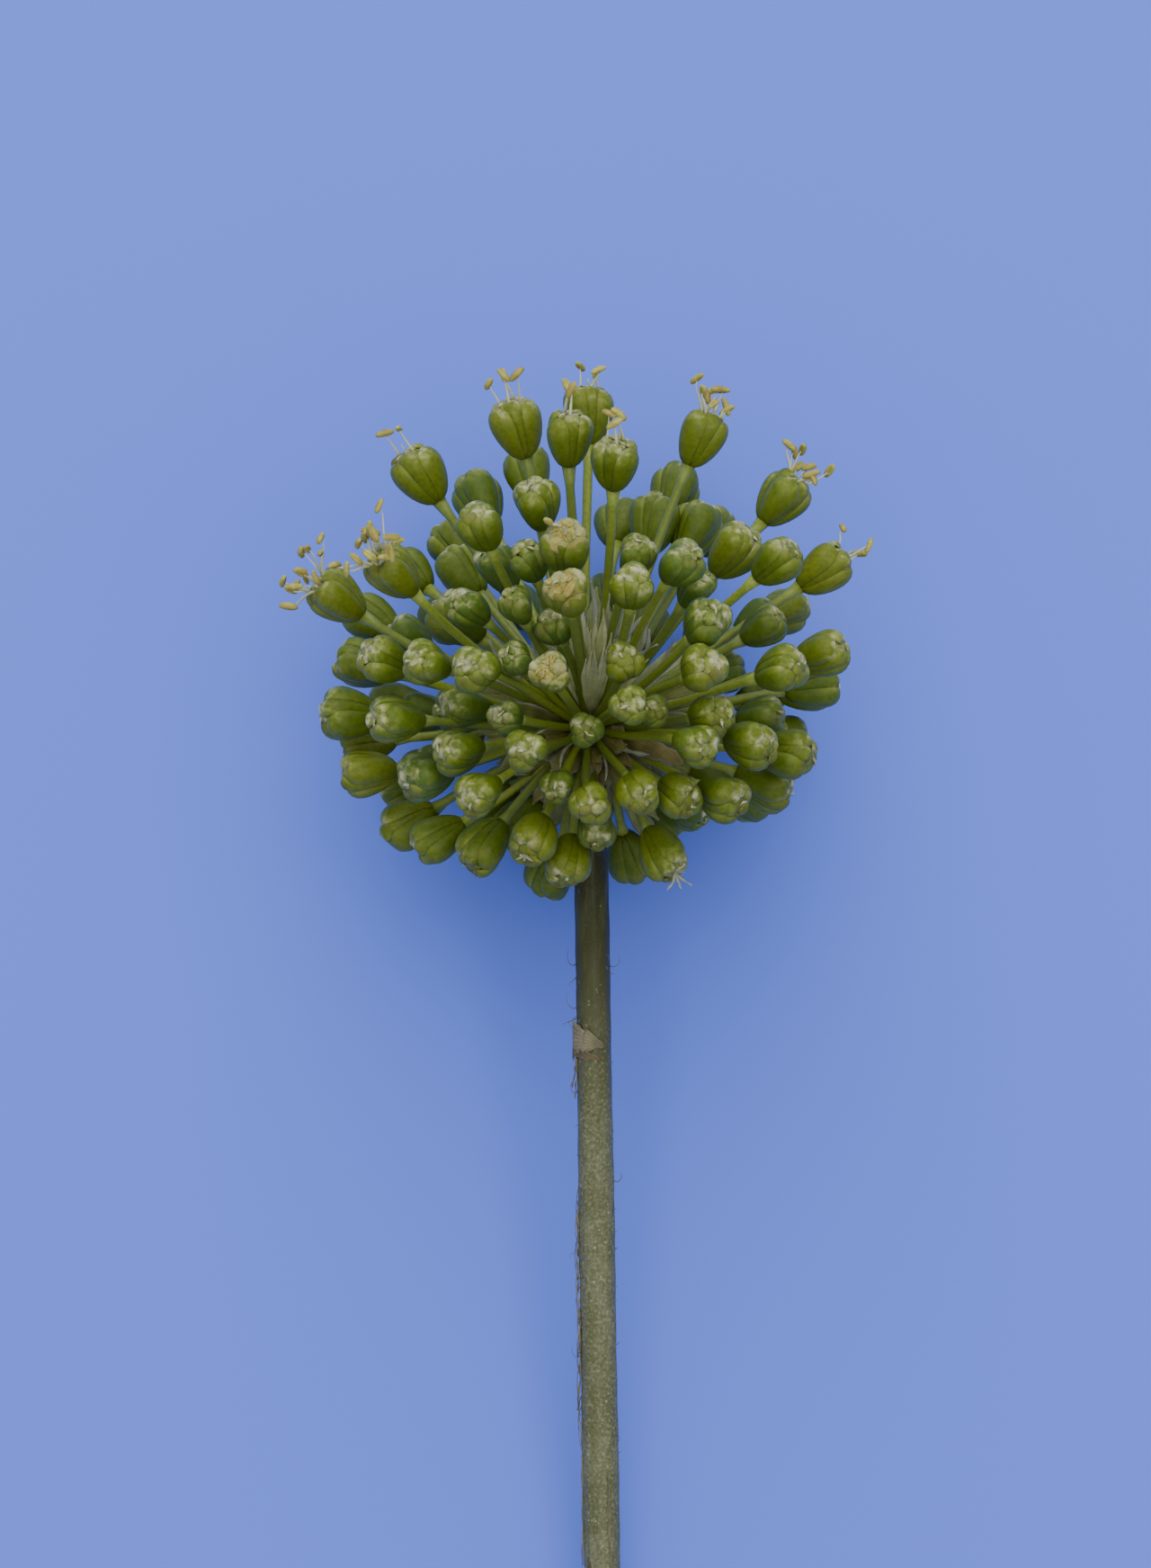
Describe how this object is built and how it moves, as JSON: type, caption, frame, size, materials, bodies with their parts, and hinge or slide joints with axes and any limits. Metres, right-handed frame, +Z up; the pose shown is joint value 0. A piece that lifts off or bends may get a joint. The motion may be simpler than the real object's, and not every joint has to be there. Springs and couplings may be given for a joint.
{
  "type": "allium flower head",
  "caption": "Cut allium flower head: a round umbel of green urn-shaped florets on thin pedicels, with a stretch of its bare scape, lying on its side.",
  "frame": {"origin": "on the surface the flower head lies on, under the middle of the box round the whole part", "axes": "+Z up from the surface; +Y along the scape, from its cut end towards the crown of the head; +X to the right for a viewer above who sees the crown at the top"},
  "size_m": [0.0404, 0.1, 0.0398],
  "materials": {
    "floret": "satin",
    "receptacle": "matte",
    "scape": "satin",
    "bracteole": "matte",
    "spathe": "matte"
  },
  "bodies": {
    "root": {"florets_01": "floret", "florets_02": "floret", "florets_03": "floret", "florets_04": "floret", "florets_05": "floret", "florets_06": "floret", "florets_07": "floret", "florets_08": "floret", "florets_09": "floret", "florets_10": "floret", "florets_11": "floret", "florets_12": "floret", "florets_13": "floret", "florets_14": "floret", "florets_15": "floret", "florets_16": "floret", "florets_17": "floret", "florets_18": "floret", "florets_19": "floret", "florets_20": "floret", "florets_21": "floret", "florets_22": "floret", "florets_23": "floret", "florets_24": "floret", "florets_25": "floret", "florets_26": "floret", "florets_27": "floret", "florets_28": "floret", "florets_29": "floret", "florets_30": "floret", "florets_31": "floret", "florets_32": "floret", "florets_33": "floret", "florets_34": "floret", "florets_35": "floret", "florets_36": "floret", "florets_37": "floret", "florets_38": "floret", "florets_39": "floret", "florets_40": "floret", "florets_41": "floret", "florets_42": "floret", "florets_43": "floret", "florets_44": "floret", "florets_45": "floret", "florets_46": "floret", "florets_47": "floret", "receptacle": "receptacle", "scape": "scape", "bracteole_01": "bracteole", "bracteole_02": "bracteole", "bracteole_03": "bracteole", "bracteole_04": "bracteole", "spathe_remnant": "spathe"}
  },
  "joints": []
}
